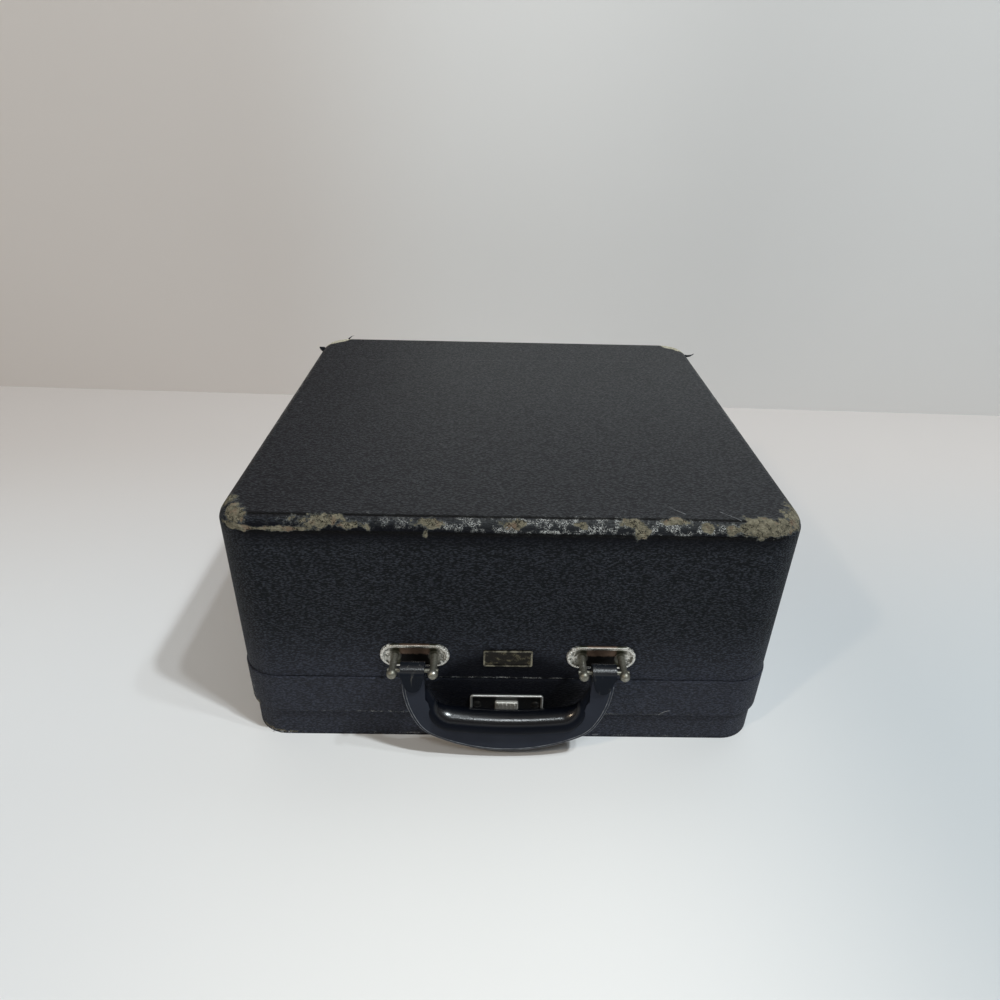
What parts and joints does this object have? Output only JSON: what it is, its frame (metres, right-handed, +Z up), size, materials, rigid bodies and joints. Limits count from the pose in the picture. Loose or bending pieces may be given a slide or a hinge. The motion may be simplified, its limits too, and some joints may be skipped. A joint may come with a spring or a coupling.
{
  "type": "portable typewriter case",
  "caption": "Covered wooden carrying case for a portable typewriter, with a hinged lid, a side-slide lock on the base and a swinging leather handle on the lid's front.",
  "frame": {"origin": "centre of the flat underside, on the surface that the closed case stands on", "axes": "+X to the right as seen from the handle, +Y from the handle to the hinges, +Z up"},
  "size_m": [0.3268, 0.3442, 0.162],
  "materials": {
    "leatherette": "black pebbled leathercloth, satin, worn at the edges",
    "wood": "plain sawn basswood",
    "lining_cloth": "matt black lining cloth",
    "nickel": "nickel plate, tarnished",
    "hinge_steel": "nickelled steel, dulled",
    "inner_steel": "bare steel",
    "dark_tack": "black japanned steel",
    "badge_metal": "black field in a tarnished metal rim",
    "handle_leather": "smooth black leather, polished by use"
  },
  "bodies": {
    "base": {"base_frame": "wood", "base_floor_board": "wood", "base_covering": "leatherette", "base_underside": "leatherette", "base_lip": "wood", "base_lining": "lining_cloth", "lock_plate": "nickel", "lock_plate_tacks": "dark_tack", "lock_case": "inner_steel", "lock_spring": "inner_steel", "hinge_screws_base": "hinge_steel", "rear_hook_screws": "inner_steel", "front_clip_posts": "inner_steel", "hinge_leaf_base_left": "hinge_steel", "hinge_leaf_base_right": "hinge_steel", "hinge_pin_left": "hinge_steel", "hinge_pin_right": "hinge_steel", "rear_hook_left": "inner_steel", "rear_hook_right": "inner_steel"},
    "lid": {"lid_frame": "wood", "lid_top_board": "wood", "lid_covering": "leatherette", "lid_lining": "lining_cloth", "badge_plate": "badge_metal", "lid_hasp": "inner_steel", "lid_hasp_screws": "inner_steel", "hinge_screws_lid": "hinge_steel", "handle_plate_left": "nickel", "handle_plate_right": "nickel", "handle_posts_left": "nickel", "handle_posts_right": "nickel", "handle_cross_pin_left": "nickel", "handle_cross_pin_right": "nickel", "handle_backing_left": "inner_steel", "handle_backing_right": "inner_steel", "hinge_leaf_lid_left": "hinge_steel", "hinge_leaf_lid_right": "hinge_steel"},
    "handle": {"handle_flange": "handle_leather", "handle_grip": "handle_leather", "handle_eye_left": "inner_steel", "handle_eye_right": "inner_steel", "handle_loop_left": "handle_leather", "handle_loop_right": "handle_leather"},
    "lock_slide": {"lock_button": "nickel", "lock_bolt": "inner_steel"},
    "front_clip_left": {"front_clip_left": "inner_steel"},
    "front_clip_right": {"front_clip_right": "inner_steel"}
  },
  "joints": [
    {"name": "lid_hinge", "type": "hinge", "parent": "base", "child": "lid", "pos_m": [0, 0.1622, 0.05065], "axis": [-1, 0, 0], "range_deg": [0, 115]},
    {"name": "handle_swing", "type": "hinge", "parent": "lid", "child": "handle", "pos_m": [0, -0.1715, 0.0695], "axis": [-1, 0, 0], "range_deg": [-1.5, 180]},
    {"name": "lock_slide", "type": "slide", "parent": "base", "child": "lock_slide", "axis": [1, 0, 0], "range_m": [0, 0.004]},
    {"name": "front_clip_left_turn", "type": "hinge", "parent": "base", "child": "front_clip_left", "pos_m": [-0.112, -0.112, 0.017], "axis": [0, 0, 1], "range_deg": [0, 90]},
    {"name": "front_clip_right_turn", "type": "hinge", "parent": "base", "child": "front_clip_right", "pos_m": [0.112, -0.112, 0.017], "axis": [0, 0, -1], "range_deg": [0, 90]}
  ]
}
